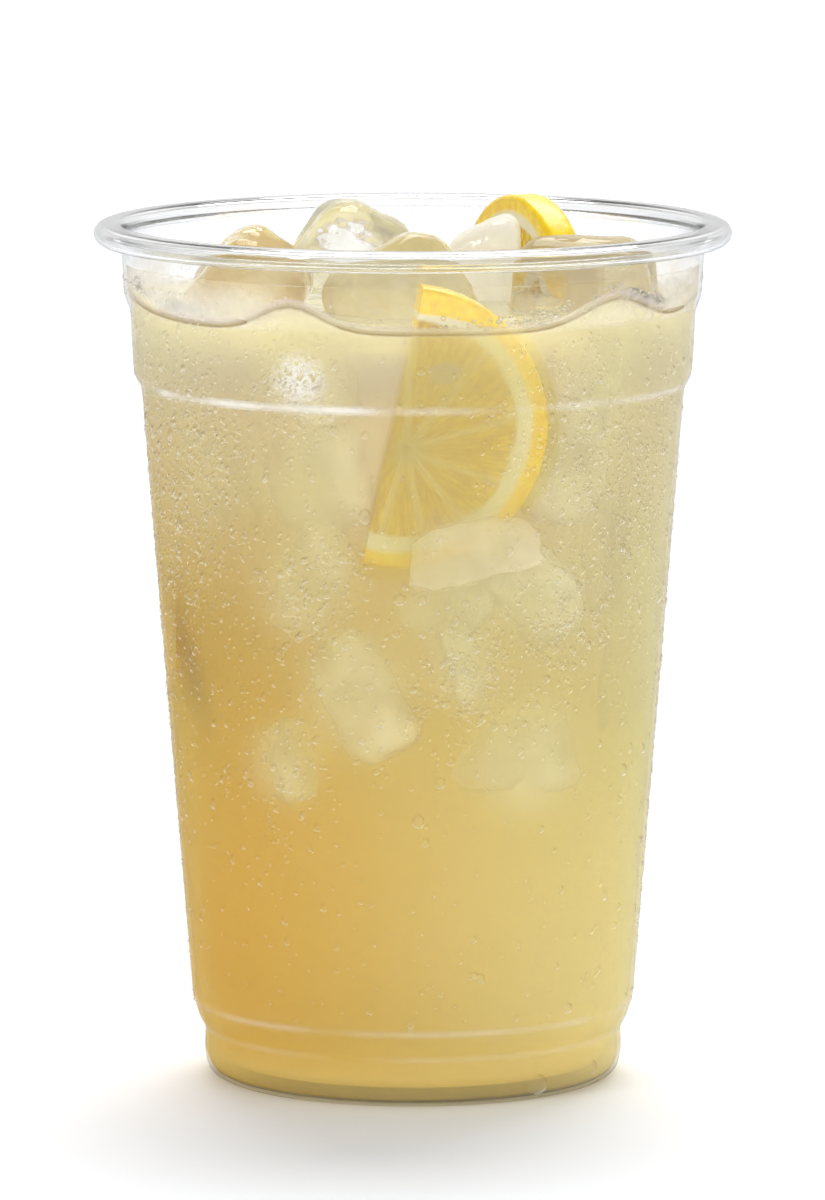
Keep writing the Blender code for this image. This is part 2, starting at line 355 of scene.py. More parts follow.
class Level:
    """A number that varies over a surface. Python's operators on it add Math nodes."""

    def __init__(self, finish, socket):
        self.finish = finish
        self.socket = socket

    def math(self, operation, *terms):
        settings = {"operation": operation}
        node = self.finish.add("ShaderNodeMath", settings, dict(enumerate(terms)))
        return Level(self.finish, node.outputs[0])

    def __add__(self, other):
        return self.math("ADD", self, other)

    __radd__ = __add__

    def __sub__(self, other):
        return self.math("SUBTRACT", self, other)

    def __rsub__(self, other):
        return self.math("SUBTRACT", other, self)

    def __mul__(self, other):
        return self.math("MULTIPLY", self, other)

    __rmul__ = __mul__

    def __pow__(self, other):
        return self.math("POWER", self, other)

    def between(self, low, high):
        """0 below low and 1 above high, with a soft step; high may be under low."""
        settings = {"interpolation_type": "SMOOTHSTEP"}
        rising = high > low
        ends = (low, high, 0.0, 1.0) if rising else (high, low, 1.0, 0.0)
        sockets = dict(enumerate((self, *ends)))
        node = self.finish.add("ShaderNodeMapRange", settings, sockets)
        return Level(self.finish, node.outputs[0])

    def absolute(self):
        return self.math("ABSOLUTE", self)

    def near(self, centre, spread):
        """1 at centre, falling to 0 at spread on both sides."""
        return (self - centre).absolute().between(spread, 0.0)

    def root(self):
        return self.math("SQRT", self)

    def most(self, other):
        return self.math("MAXIMUM", self, other)


class Finish:
    """A material or a world, with one method that adds any node to it."""

    def __init__(self, name, kind="materials"):
        self.material = getattr(bpy.data, kind).new(name)
        self.material.use_nodes = True
        self.material.node_tree.nodes.clear()

    def add(self, kind, settings=None, sockets=None):
        node = self.material.node_tree.nodes.new(kind)
        for setting, value in (settings or {}).items():
            setattr(node, setting, value)
        for key, value in (sockets or {}).items():
            if isinstance(value, Level):
                value = value.socket
            if isinstance(value, bpy.types.NodeSocket):
                self.material.node_tree.links.new(value, node.inputs[key])
            else:
                node.inputs[key].default_value = value
        return node

    def coordinates(self, output="Object"):
        return self.add("ShaderNodeTexCoord").outputs[output]

    def axes(self, vector):
        node = self.add("ShaderNodeSeparateXYZ", sockets={0: vector})
        return [Level(self, socket) for socket in node.outputs]

    def spot(self, x, y, z):
        return self.add("ShaderNodeCombineXYZ", sockets={0: x, 1: y, 2: z}).outputs[0]

    def noise(self, vector, scale, detail=2.0, distortion=0.0):
        sockets = {"Vector": vector, "Scale": scale, "Detail": detail, "Distortion": distortion}
        return Level(self, self.add("ShaderNodeTexNoise", sockets=sockets).outputs[0])

    def cells(self, vector, scale):
        node = self.add("ShaderNodeTexVoronoi", sockets={"Vector": vector, "Scale": scale})
        return Level(self, node.outputs["Distance"])

    def mix(self, factor, first, second):
        node = self.add("ShaderNodeMix", {"data_type": "RGBA"}, {0: factor, 6: first, 7: second})
        return node.outputs[2]

    def bump(self, height, distance, strength):
        sockets = {"Height": height, "Distance": distance, "Strength": strength}
        return self.add("ShaderNodeBump", sockets=sockets).outputs[0]

    def facing(self):
        """0 where the surface faces the eye and 1 at its edge."""
        node = self.add("ShaderNodeLayerWeight", sockets={"Blend": 0.5})
        return Level(self, node.outputs["Facing"])

    def blend(self, factor, first, second):
        sockets = {0: factor, 1: first, 2: second}
        return self.add("ShaderNodeMixShader", sockets=sockets).outputs[0]

    def for_lamps(self, seen, passed):
        """One shader for the eye, and a clear one for light on its way to a lamp."""
        path = self.add("ShaderNodeLightPath")
        return self.blend(path.outputs["Is Shadow Ray"], seen, passed)

    def clear(self, tint=(1.0, 1.0, 1.0, 1.0)):
        return self.add("ShaderNodeBsdfTransparent", sockets={0: tint}).outputs[0]

    def done(self, surface, volume=None):
        sockets = {"Surface": surface}
        if volume:
            sockets["Volume"] = volume
        self.add("ShaderNodeOutputMaterial", sockets=sockets)
        return self.material


def colour(red, green, blue):
    """A shader colour from the 0 to 255 values that a colour picker shows."""

    def linear(value):
        share = value / 255.0
        return share / 12.92 if share <= 0.04045 else ((share + 0.055) / 1.055) ** 2.4

    return (linear(red), linear(green), linear(blue), 1.0)


def plastic_wall(name, inside=False):
    """Thin clear plastic that bends no light.

    Its inside is misted above the drink; its outside has painted highlights: light lines and a
    bright glint patch in white."""
    finish = Finish(name)
    x, y, z = finish.axes(finish.coordinates())
    sheen = 0.03 + 0.3 * finish.facing() ** 8.0
    ripple = finish.noise(finish.coordinates(), 70.0, 1.0)
    if inside:
        sheen = sheen * z.between(LEVEL, LEVEL + MM)
    gloss = finish.add("ShaderNodeBsdfGlossy", sockets={"Roughness": 0.22})
    flat_on = finish.clear((0.99, 0.99, 0.985, 1.0))
    edge_on = finish.clear((0.6, 0.6, 0.59, 1.0))
    film = finish.blend(finish.facing() ** 6.0, flat_on, edge_on)
    wall = finish.blend(sheen, film, gloss.outputs[0])
    if inside:
        drift = finish.noise(finish.coordinates(), 60.0, 2.0)
        grain = finish.noise(finish.coordinates(), 900.0, 2.0)
        mist = z.between(MIST_TOP, LEVEL + 3.0 * MM) * z.between(LEVEL - MM, LEVEL)
        sides = x.absolute().between(14.0 * MM, 38.0 * MM)
        mist = mist * (0.12 + 0.7 * sides * drift.between(0.25, 0.55) + 0.2 * (grain - 0.5))
        haze_tone = colour(240, 236, 226)
        drops = finish.add("ShaderNodeBsdfDiffuse", sockets={"Color": haze_tone})
        light = finish.add("ShaderNodeBsdfTranslucent", sockets={"Color": haze_tone})
        haze = finish.blend(0.5, drops.outputs[0], light.outputs[0])
        wall = finish.blend(mist, wall, haze)
    else:
        # Painted highlights in white diffuse: a glint patch broken into grains, and light lines
        # along the ledge, the hip and the foot
        grit = finish.noise(finish.coordinates(), 1500.0, 1.0).between(0.7, 0.48)
        from_glint = ((x - GLINT[0]) ** 2.0 + (z - GLINT[1]) ** 2.0).root()
        glint = from_glint.between(GLINT_REACH, MM) * y.between(0.0, -MM) * grit * 0.65
        left = x.between(4.0 * MM, -8.0 * MM) * y.between(0.0, -MM)
        broken = ripple.between(0.35, 0.6)
        ledge = z.near(LEDGE_HIGHLIGHT, 1.1 * MM) * (0.08 + (0.22 + 0.4 * left) * broken)
        low = z.near(HIP_HIGHLIGHT, 0.9 * MM) * 0.2 + z.near(FOOT_HIGHLIGHT, 0.9 * MM) * 0.12
        # The white diffuse that paints the highlights
        white = finish.add("ShaderNodeBsdfDiffuse", sockets={"Color": colour(250, 249, 246)})
        painted = glint + ledge + low * ripple.between(0.3, 0.6)
        wall = finish.blend(painted, wall, white.outputs[0])
    return finish.done(finish.for_lamps(wall, finish.clear()))


def glass(name, ior, roughness, tint, edge_tint, edge_share, edge_fall=4.0):
    """Clear stuff that bends the light for the eye and lets the lamps through; darker edges."""
    finish = Finish(name)
    sockets = {"Base Color": tint, "Roughness": roughness, "IOR": ior}
    sockets["Transmission Weight"] = 1.0
    body = finish.add("ShaderNodeBsdfPrincipled", sockets=sockets).outputs[0]
    edges = finish.facing() ** edge_fall * edge_share
    seen = finish.blend(edges, body, finish.clear(edge_tint))
    return finish.done(finish.for_lamps(seen, finish.clear((0.96, 0.96, 0.96, 1.0))))


def drop_finish():
    """A clear bead with painted shade on its upper edge, a painted highlight on its lower one and a
    wet gloss.
    """
    finish = Finish("water")
    _, _, up = finish.axes(finish.coordinates("Normal"))
    edge = finish.facing() ** 1.5
    # Painted light, set by which way the surface faces: shade on the upper edge and a white diffuse
    # highlight on the lower edge
    painted_shade = finish.clear((0.5, 0.38, 0.2, 1.0))
    white = finish.add("ShaderNodeBsdfDiffuse", sockets={"Color": colour(255, 251, 238)})
    wet = finish.add("ShaderNodeBsdfGlossy", sockets={"Roughness": 0.1})
    body = finish.blend(edge * 0.8 * up.between(-0.1, 0.4), finish.clear(), painted_shade)
    body = finish.blend(edge * 0.8 * up.between(0.0, -0.5), body, white.outputs[0])
    seen = finish.blend(0.04 + 0.2 * finish.facing() ** 4.0, body, wet.outputs[0])
    return finish.done(finish.for_lamps(seen, finish.clear()))


def near_ice(finish):
    """1 in front of the sunk ice that faces the eye, falling softly to 0 round it."""
    where = finish.coordinates()
    glow = 0.0
    for angle, height, _, size, *_ in SUNK_ICE:
        if abs(angle) > SEEN_ICE_ANGLE:
            continue
        turn = math.radians(angle)
        reach = inner_radius(height * MM) - 2.0 * MM
        centre = (math.sin(turn) * reach, -math.cos(turn) * reach, height * MM)
        settings = {"operation": "DISTANCE"}
        apart = finish.add("ShaderNodeVectorMath", settings, {0: where, 1: centre})
        reach = (size[0] + size[2]) * 0.25 * MM
        glow = Level(finish, apart.outputs["Value"]).between(1.25 * reach, 0.35 * reach) + glow
    return glow


def drink_tones(finish, x, y, z):
    """The drink's tones near the wall and deep in it.

    Golden low down and to the left, paler towards the top and the right: the paler right is painted
    light, and the paler top is partly the ice in the drink and partly painted light. The foot has
    painted light, and there is painted shade just below the surface and at the left edge."""
    patches = finish.noise(finish.coordinates(), 32.0, 2.0)
    # Painted light: paler to the right, the lit side, and golden to the left
    right = (x + 8.0 * MM * patches).between(-36.0 * MM, 36.0 * MM)
    # Paler towards the top: partly the ice in the drink, partly painted light
    high = (z + 26.0 * MM * patches + 12.0 * MM * right).between(76.0 * MM, 122.0 * MM)
    low_near = finish.mix(right, colour(214, 164, 8), colour(230, 212, 158))
    low_deep = finish.mix(right, colour(228, 180, 8), colour(238, 217, 144))
    # Painted light at the foot, where little light reaches the drink: its tones are lifted towards
    # the bottom
    foot = z.between(16.0 * MM, 5.0 * MM) * 0.5 + z.between(6.0 * MM, 3.0 * MM) * 0.5
    low_near = finish.mix(foot, low_near, colour(255, 224, 134))
    low_deep = finish.mix(foot, low_deep, colour(255, 224, 134))
    near = finish.mix(high, low_near, colour(244, 225, 214))
    deep = finish.mix(high, low_deep, colour(250, 225, 186))
    # Painted shade: darker from 104 to 114 mm high, just below the surface
    painted_shade_band = z.between(104.0 * MM, 114.0 * MM)
    near = finish.mix(painted_shade_band, near, colour(222, 206, 212))
    deep = finish.mix(painted_shade_band, deep, colour(208, 190, 188))
    glow = near_ice(finish)
    near = finish.mix(glow * 0.5, near, colour(250, 242, 220))
    deep = finish.mix(glow * 0.65, deep, colour(255, 246, 222))
    lid = (x * x + y * y).root().between(37.0 * MM, 33.0 * MM)
    lid = lid * z.between(112.0 * MM, 115.0 * MM)
    deep = finish.mix(lid, deep, colour(238, 224, 166))
    # Painted shade: a dark stripe near the left edge, where the sunk slice presses on the wall
    slice_shade_streak = (x + 37.0 * MM - 0.25 * (78.0 * MM - z)).near(0.0, 3.2 * MM)
    slice_shade_streak = slice_shade_streak * z.near(68.0 * MM, 16.0 * MM) * y.between(8.0 * MM, 0.0)
    near = finish.mix(slice_shade_streak, near, colour(96, 48, 0))
    deep = finish.mix(slice_shade_streak, deep, colour(120, 64, 0))
    return near, deep


def drink_finish():
    """Cloudy lemonade that light wanders through; its free surface has a wet gloss."""
    finish = Finish("cloudy lemonade")
    x, y, z = finish.axes(finish.coordinates())
    out = (x * x + y * y).root()
    top = out.between(SURFACE_EDGE, SURFACE_EDGE - 0.3 * MM)
    top = top * z.between(LEVEL - 2.0 * MM, LEVEL - MM)
    ripple = finish.noise(finish.coordinates(), 160.0, 2.0)
    gloss = finish.add(
        "ShaderNodeBsdfGlossy",
        sockets={"Roughness": 0.04, "Normal": finish.bump(ripple, 0.5 * MM, 0.6)},
    )
    sheen = (0.02 + 0.9 * finish.facing() ** 5.0) * top
    tone, _ = drink_tones(finish, x, y, z)
    thick = 0.16 + 0.05 * z.between(80.0 * MM, 116.0 * MM)
    thick = thick + 0.03 * x.between(-20.0 * MM, -34.0 * MM)
    aside = x - FRONT_SLICE_CENTRE[0]
    above = z - FRONT_SLICE_CENTRE[2]
    kept = aside * math.cos(FRONT_SLICE_CUT_LEAN) - above * math.sin(FRONT_SLICE_CUT_LEAN)
    pressed = (aside * aside + above * above).root().between(24.0 * MM, 22.5 * MM)
    pressed = pressed * kept.between(-3.0 * MM, -1.5 * MM) * y.between(0.0, -MM)
    pressed = pressed * (1.0 - x.between(0.0, 4.0 * MM) * z.between(94.0 * MM, 89.0 * MM))
    thick = thick * (1.0 - 0.8 * pressed)
    depth = finish.add("ShaderNodeAttribute", {"attribute_name": "below the lip"})
    lip = Level(finish, depth.outputs["Fac"])
    line = lip.near(0.4 * MM, 0.45 * MM)
    tone = finish.mix(top, tone, colour(236, 226, 176))
    tone = finish.mix(line, tone, colour(130, 104, 40))
    sockets = {"Base Color": tone, "Roughness": 1.0, "Specular IOR Level": 0.0}
    veil = finish.add("ShaderNodeBsdfPrincipled", sockets=sockets).outputs[0]
    cover = (thick + 0.5 * line) * (1.0 - top) + 0.5 * top
    golden = finish.facing() * x.between(0.0, -30.0 * MM) * z.between(116.0 * MM, 96.0 * MM)
    through = finish.blend(golden, finish.clear(), finish.clear((0.98, 0.84, 0.42, 1.0)))
    body = finish.blend(cover, through, veil)
    surface = finish.blend(sheen, body, gloss.outputs[0])
    cloud = finish.add(
        "ShaderNodeVolumePrincipled",
        sockets={"Color": FOG_COLOUR, "Density": FOG_DENSITY, "Anisotropy": FOG_FORWARD},
    )
    return finish.done(finish.for_lamps(surface, finish.clear()), cloud.outputs[0])


def core_finish():
    """What the eye meets deep in the cloudy drink."""
    finish = Finish("deep lemonade")
    x, y, z = finish.axes(finish.coordinates())
    _, tone = drink_tones(finish, x, y, z)
    body = finish.add("ShaderNodeBsdfPrincipled", sockets={"Base Color": tone, "Roughness": 0.7})
    return finish.done(body.outputs[0])


def ice_finish(name, cloud_low, cloud_high, cloud_tone, roughness=0.03):
    """Clear ice with a cloud in it that light shines through."""
    finish = Finish(name)
    where = finish.coordinates()
    facets = finish.cells(where, 120.0) + 0.4 * finish.noise(where, 260.0, 2.0)
    normal = finish.bump(facets, 1.2 * MM, 0.8)
    sockets = {"Base Color": (0.9, 0.885, 0.83, 1.0), "Roughness": roughness, "IOR": 1.31}
    sockets |= {"Transmission Weight": 1.0, "Normal": normal}
    body = finish.add("ShaderNodeBsdfPrincipled", sockets=sockets).outputs[0]
    matt = finish.add("ShaderNodeBsdfDiffuse", sockets={"Color": cloud_tone}).outputs[0]
    lit = finish.add("ShaderNodeBsdfTranslucent", sockets={"Color": cloud_tone}).outputs[0]
    wet = finish.add("ShaderNodeBsdfGlossy", sockets={"Roughness": 0.05, "Normal": normal})
    milk = finish.blend(0.5, matt, lit)
    milk = finish.blend(0.03 + 0.5 * finish.facing() ** 5.0, milk, wet.outputs[0])
    cloud = finish.noise(where, 75.0, 2.0, distortion=0.6).between(cloud_low, cloud_high)
    seen = finish.blend(cloud, body, milk)
    shade = finish.blend(cloud * 0.5, finish.clear((0.96, 0.96, 0.95, 1.0)), matt)
    return finish.done(finish.for_lamps(seen, shade))


def sunk_ice_finish():
    """Pale inside the drink, with edges that fade into it."""
    finish = Finish("sunk ice")
    veins = finish.noise(finish.coordinates(), 120.0, 3.0)
    tone = finish.mix(veins.between(0.3, 0.7), colour(248, 235, 194), colour(253, 245, 218))
    sockets = {"Base Color": tone, "Roughness": 1.0, "Specular IOR Level": 0.0}
    body = finish.add("ShaderNodeBsdfPrincipled", sockets=sockets)
    thin = finish.noise(finish.coordinates(), 58.0, 2.0).between(0.36, 0.58)
    fade = finish.facing().between(0.75, 0.05) * (0.35 + 0.65 * thin)
    return finish.done(finish.blend(fade, finish.clear(), body.outputs[0]))


def lemon_finish(name, radius, core_drop, walls, skin_low, skin_high):
    """Peel, pith and pulp laid out on the slice's own map, in metres from the wheel's middle."""
    finish = Finish(name)
    across, up, _ = finish.axes(finish.coordinates("UV"))
    x = (across - 0.5) * (2.0 * radius)
    z = (up - 0.5) * (2.0 * radius)
    out = (x * x + z * z).root()
    grain = finish.noise(finish.coordinates(), 700.0, 3.0)
    wander = (finish.noise(finish.coordinates(), 160.0, 2.0) - 0.5) * (1.6 * MM)
    tip = z.between(0.66 * radius, 0.95 * radius) if core_drop else 0.0
    peel = (out + wander * 0.6 + 3.0 * MM * tip).between(radius - 3.1 * MM, radius - 2.0 * MM)
    pulp = (out + wander).between(PULP_SHARE * radius, PULP_SHARE * radius - 0.7 * MM)
    zc = z + core_drop
    from_core = (x * x + zc * zc).root()
    thin = finish.noise(finish.coordinates(), 240.0, 2.0) * (0.5 * MM)
    web = from_core.between(2.6 * MM, 1.2 * MM)
    for angle in walls:
        turn = math.radians(angle)
        along = x * math.cos(turn) + zc * math.sin(turn)
        aside = x * math.sin(turn) - zc * math.cos(turn)
        aside = aside.absolute() + wander * 0.25
        width = 0.35 * MM + thin * 0.5
        line = (aside - width).between(0.25 * MM, 0.0) * along.between(0.0, 1.0 * MM)
        web = web.most(line)
    pulp = pulp * (1.0 - 0.4 * web)
    spread = zc.math("ARCTAN2", zc, x)
    rays = finish.cells(finish.spot(spread * 26.0, from_core * 420.0, 0.0), 1.0)
    juice = finish.mix(rays.between(0.1, 0.8), colour(250, 219, 52), colour(212, 170, 8))
    pith = finish.mix(grain, colour(244, 238, 214), colour(236, 226, 190))
    skin = finish.mix(grain.between(0.35, 0.7), skin_low, skin_high)
    tone = finish.mix(pulp, pith, juice)
    tone = finish.mix(peel, tone, skin)
    relief = rays * pulp * -0.6 + grain * 0.25
    body = finish.add(
        "ShaderNodeBsdfPrincipled",
        sockets={
            "Base Color": tone,
            "Roughness": 0.28,
            "Normal": finish.bump(relief, 0.3 * MM, 0.8),
        },
    )
    return finish.done(body.outputs[0])


# The cup


def cup_profile():
    """The sheet's inner face, from the middle of the bottom to the free end of the curl."""
    foot = [
        (0.0, PANEL_HEIGHT + WALL),
        (PANEL_EDGE[0] - WALL, PANEL_EDGE[1] + WALL),
        (STAND_IN[0] - 0.5 * WALL, STAND_IN[1] + WALL),
        (STAND_OUT[0] - 0.5 * WALL, STAND_OUT[1] + WALL),
        (FOOT_LOW[0] - WALL, FOOT_LOW[1] + 0.5 * WALL),
    ]
    wall = (FOOT_WIDE, WAIST, HIP_LOW, HIP_TOP, BODY_TOP, LEDGE_TOP, BAND_TOP, NECK_LOW)
    foot += [(radius - WALL, height) for radius, height in wall]
    bend = (NECK_TOP[0] - WALL + MOUTH_BEND, CUP_HEIGHT - MOUTH_BEND)
    curl = (RIM_RADIUS - CURL_RADIUS, CUP_HEIGHT - CURL_RADIUS)
    rim = list(arc(bend, MOUTH_BEND, math.pi, math.pi / 2, 5))
    rim += arc(curl, CURL_RADIUS, math.pi / 2, math.pi / 2 - CURL_TURN, 20)
    return stepped(softened(foot + rim[:1], 0.8 * MM), 8.0 * MM) + rim[1:]


def make_cup():
    cup = turned("clear_cup", cup_profile(), CUP_SIDES)
    wall = cup.modifiers.new("Wall", "SOLIDIFY")
    wall.thickness = WALL
    wall.offset = -1.0
    wall.use_even_offset = True
    apply_modifiers(cup)
    materials = (
        plastic_wall("clear plastic, inside", inside=True),
        plastic_wall("clear plastic, outside, with painted highlights"),
        glass("clear plastic, rolled rim", 1.5, 0.03, RIM_TINT, RIM_EDGE_TINT, 0.65),
    )
    smooth(cup.data)
    for face in cup.data.polygons:
        away = Vector((face.center.x, face.center.y, -0.01 * MM))
        if face.center.z > NECK_TOP[1] - 1.5 * MM:
            face.material_index = 2
        elif face.normal.dot(away) > 0.0:
            face.material_index = 1
    finish_piece(cup, materials, "cup")
    cup.visible_shadow = False


# The drink


def climb(x, y):
    """How far the drink's surface is drawn up at a place: most at the wall."""
    angle = math.degrees(math.atan2(x, -y))
    from_wall = inner_radius(LEVEL) - math.hypot(x, y)
    rise = 0.0
    for centre, height, spread in CLIMBS:
        apart = (angle - centre + 180.0) % 360.0 - 180.0
        rise += height * math.exp(-((apart / spread) ** 2))
    return rise * math.exp(-max(from_wall, 0.0) / CLIMB_REACH)


def make_drink():
    rings = 30
    reach = inner_radius(LEVEL) + DRINK_REACH
    top = [(reach * ring / rings, LEVEL) for ring in range(rings + 1)]
    lip_heights = [LEVEL - step * MM for step in LIP_STEPS]
    lip = [(inner_radius(height) + DRINK_REACH, height) for height in lip_heights]
    inset = WALL - DRINK_REACH
    wall = (BAND_TOP, LEDGE_TOP, BODY_TOP, HIP_TOP, HIP_LOW, WAIST, FOOT_WIDE)
    wall = [(radius - inset, height) for radius, height in wall if height < LEVEL - MM]
    bottom = [
        (FOOT_LOW[0] - inset - 0.3 * MM, FOOT_LOW[1] + WALL),
        (STAND_OUT[0] - inset, STAND_OUT[1] + WALL + 0.2 * MM),
        (PANEL_EDGE[0] - inset, PANEL_EDGE[1] + WALL + 0.2 * MM),
        (0.0, PANEL_HEIGHT + WALL + 0.1 * MM),
    ]
    side = stepped(softened([top[-1], *wall, *bottom], 0.8 * MM), 6.0 * MM)
    side = [point for point in side if point[1] < LEVEL - 8.0 * MM]
    drink = turned("lemonade_in_cup", top + lip + side, CUP_SIDES)
    below = drink.data.attributes.new("below the lip", "FLOAT", "POINT")
    edge = inner_radius(LEVEL)
    for vert in drink.data.vertices:
        depth = LEVEL - vert.co.z
        below.data[vert.index].value = depth
        if depth > CLIMB_DEPTH:
            continue
        out = math.hypot(vert.co.x, vert.co.y)
        lift = climb(vert.co.x, vert.co.y)
        if depth < 0.05 * MM:
            calm = min(1.0, (edge - out) / (4.0 * MM) + 0.2)
            lift += 0.35 * MM * noise.noise(vert.co * 190.0) * calm
            lift += 0.8 * MM * math.exp(-max(edge - out, 0.0) / (1.2 * MM))
        vert.co.z += lift * (1.0 - depth / CLIMB_DEPTH)
    smooth(drink.data, 50)
    finish_piece(drink, (drink_finish(),), "lemonade")


def make_core():
    top = LEVEL - CORE_DROP
    profile = [(0.0, top)]
    for height in (top, *(step * 6.0 * MM for step in range(18, 1, -1))):
        share = min(1.0, max(0.0, (height - CORE_LOW) / (CORE_HIGH - CORE_LOW)))
        eased = share * share * (3.0 - 2.0 * share)
        inset = CORE_INSET_LOW + (CORE_INSET - CORE_INSET_LOW) * eased
        profile.append((inner_radius(height) - inset, height))
    profile += [(FOOT_WIDE[0] - WALL - CORE_INSET_LOW, 8.0 * MM)]
    profile += [(FOOT_LOW[0] - WALL - CORE_INSET_LOW, 2.2 * MM)]
    profile += [(PANEL_EDGE[0] - CORE_INSET_LOW, 3.0 * MM), (0.0, PANEL_HEIGHT + 1.2 * MM)]
    core = turned("lemonade_depth", softened(profile, 2.0 * MM), 64)
    smooth(core.data)
    finish_piece(core, (core_finish(),))


# Ice


def ice_block(name, sizes, slope, detail, seed, melt):
    """A melting block with uneven faces: a bevelled cube, or a rounder one if slope is None."""
    deselect()
    bpy.ops.mesh.primitive_cube_add(size=1.0, location=(0.0, 0.0, 0.0))
    block = bpy.context.object
    block.name = name
    edit(block)
    bpy.ops.transform.resize(value=[size * MM for size in sizes])
    leave_edit()
    for vert in block.data.vertices:
        if vert.co.z > 0.0:
            vert.co.x *= ICE_TOP_TAPER
            vert.co.y *= ICE_TOP_TAPER
            vert.co.z += vert.co.x * math.tan(math.radians(slope or 0))
    fine = block.modifiers.new("Fine faces", "SUBSURF")
    if slope is None:
        edit(block)
        bpy.ops.transform.edge_crease(value=0.3)
        leave_edit()
    else:
        fine.subdivision_type = "SIMPLE"
        bevel = block.modifiers.new("Melted edges", "BEVEL")
        bevel.width = ICE_EDGE * min(sizes) * MM
        bevel.segments = 5
        bevel.limit_method = "NONE"
        block.modifiers.move(1, 0)
    fine.levels = detail
    fine.render_levels = detail
    apply_modifiers(block)
    shift = Vector((seed * 7.1, seed * 3.3, seed * 5.7))
    for vert in block.data.vertices:
        swell = noise.noise(vert.co * 130.0 + shift) + 0.4 * noise.noise(vert.co * 420.0 + shift)
        vert.co += vert.co.normalized() * (swell - 0.8) * melt
    smooth(block.data)
    return block


def fit_inside(block, node):
    """Shrinks a block that would stand out of its CAD node's box."""
    low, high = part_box(node)
    middle = (Vector(low) + Vector(high)) / 2.0
    half = (Vector(high) - Vector(low)) / 2.0
    share = 1.0
    for vert in block.data.vertices:
        for axis in range(3):
            share = min(share, half[axis] / max(abs(vert.co[axis] - middle[axis]), MM))
    shrink = Matrix.Translation(middle) @ Matrix.Scale(share, 4) @ Matrix.Translation(-middle)
    block.data.transform(shrink)


def make_surface_ice():
    finishes = {
        "ice_left": ice_finish("ice, amber cloud", 0.42, 0.66, colour(214, 190, 134)),
        "ice_tall": ice_finish("ice, clear", 0.42, 0.80, colour(172, 168, 152)),
        "ice_front": ice_finish("ice, pale amber cloud", 0.32, 0.64, colour(220, 208, 164)),
        "ice_frosted": ice_finish("ice, frosted", 0.15, 0.45, colour(252, 250, 242), 0.2),
        "ice_flat": ice_finish("ice, straw cloud", 0.34, 0.60, colour(204, 188, 146)),
    }
    for seed, (name, (sizes, centre, turns, slope)) in enumerate(ICE.items()):
        block = ice_block(name + "_block", sizes, slope, 2, seed + 1, 0.5 * MM)
        place(block, at(Vector(centre) * MM, turns))
        fit_inside(block, name)
        finish_piece(block, (finishes[name],), name)


def make_sunk_ice():
    finish = sunk_ice_finish()
    for number, (angle, height, depth, size, roll, yaw, pitch) in enumerate(SUNK_ICE):
        melt = min(1.3, 0.3 * size[1]) * MM
        block = ice_block(f"sunk_ice_{number + 1}", size, None, 4, number + 20, melt)
        reach = inner_radius(height * MM) - (depth + 0.5 * size[1]) * MM
        round_cup = Matrix.Rotation(math.radians(angle), 4, "Z")
        out = Matrix.Translation((0.0, -reach, height * MM))
        place(block, round_cup @ out @ at((0, 0, 0), (pitch, 0, yaw)) @ at((0, 0, 0), (0, roll, 0)))
        finish_piece(block, (finish,))


# Lemon


def slice_wheel(name, radius, walls, core_drop=0.0, cut=None):
    """A wheel in the XZ plane with sunk pulp; cut, if given, is the side that is kept."""
    half = 0.5 * SLICE_THICKNESS
    rings = 30
    face = [(0.97 * radius * ring / rings, half) for ring in range(rings)]
    rim = [(radius - PEEL_ROUND, half), (radius - 0.25 * PEEL_ROUND, half - 0.25 * PEEL_ROUND)]
    rim += [(radius, half - PEEL_ROUND), (radius, 0.0)]
    top = face + rim
    profile = top + [(size, -depth) for size, depth in reversed(top[:-1])]
    wheel = turned(name, profile, 144)
    wheel.data.transform(Matrix.Rotation(math.radians(90), 4, "X"))
    for vert in wheel.data.vertices:
        x, z = vert.co.x, vert.co.z
        out = math.hypot(x, z)
        from_core = math.hypot(x, z + core_drop)
        sink = min(1.0, max(0.0, (PULP_SHARE * radius - out) / (0.8 * MM)))
        sink *= min(1.0, max(0.0, (from_core - 1.5 * MM) / (1.0 * MM)))
        for angle in walls:
            turn = math.radians(angle)
            if x * math.cos(turn) + (z + core_drop) * math.sin(turn) < 0.0:
                continue
            aside = abs(x * math.sin(turn) - (z + core_drop) * math.cos(turn))
            sink *= min(1.0, max(0.0, (aside - 0.3 * MM) / (0.5 * MM)))
        bulge = 0.15 * MM * noise.noise(vert.co * 900.0)
        if out < radius - PEEL_ROUND:
            vert.co.y -= math.copysign(PULP_SINK * sink * 0.8 + bulge * sink, vert.co.y)
        elif out > 0.98 * radius:
            dent = 0.1 * MM * (noise.noise(vert.co * 1500.0) - 0.7)
            vert.co += Vector((x, 0.0, z)).normalized() * dent
    if cut:
        edit(wheel)
        bpy.ops.mesh.bisect(
            plane_co=cut * FRONT_SLICE_CUT_OFFSET,
            plane_no=cut,
            use_fill=True,
            clear_inner=True,
        )
        leave_edit()
    while wheel.data.uv_layers:
        wheel.data.uv_layers.remove(wheel.data.uv_layers[0])
    chart = wheel.data.uv_layers.new(name="slice")
    for loop in wheel.data.loops:
        point = wheel.data.vertices[loop.vertex_index].co
        chart.data[loop.index].uv = (0.5 + point.x / (2 * radius), 0.5 + point.z / (2 * radius))
    smooth(wheel.data, 55)
    return wheel


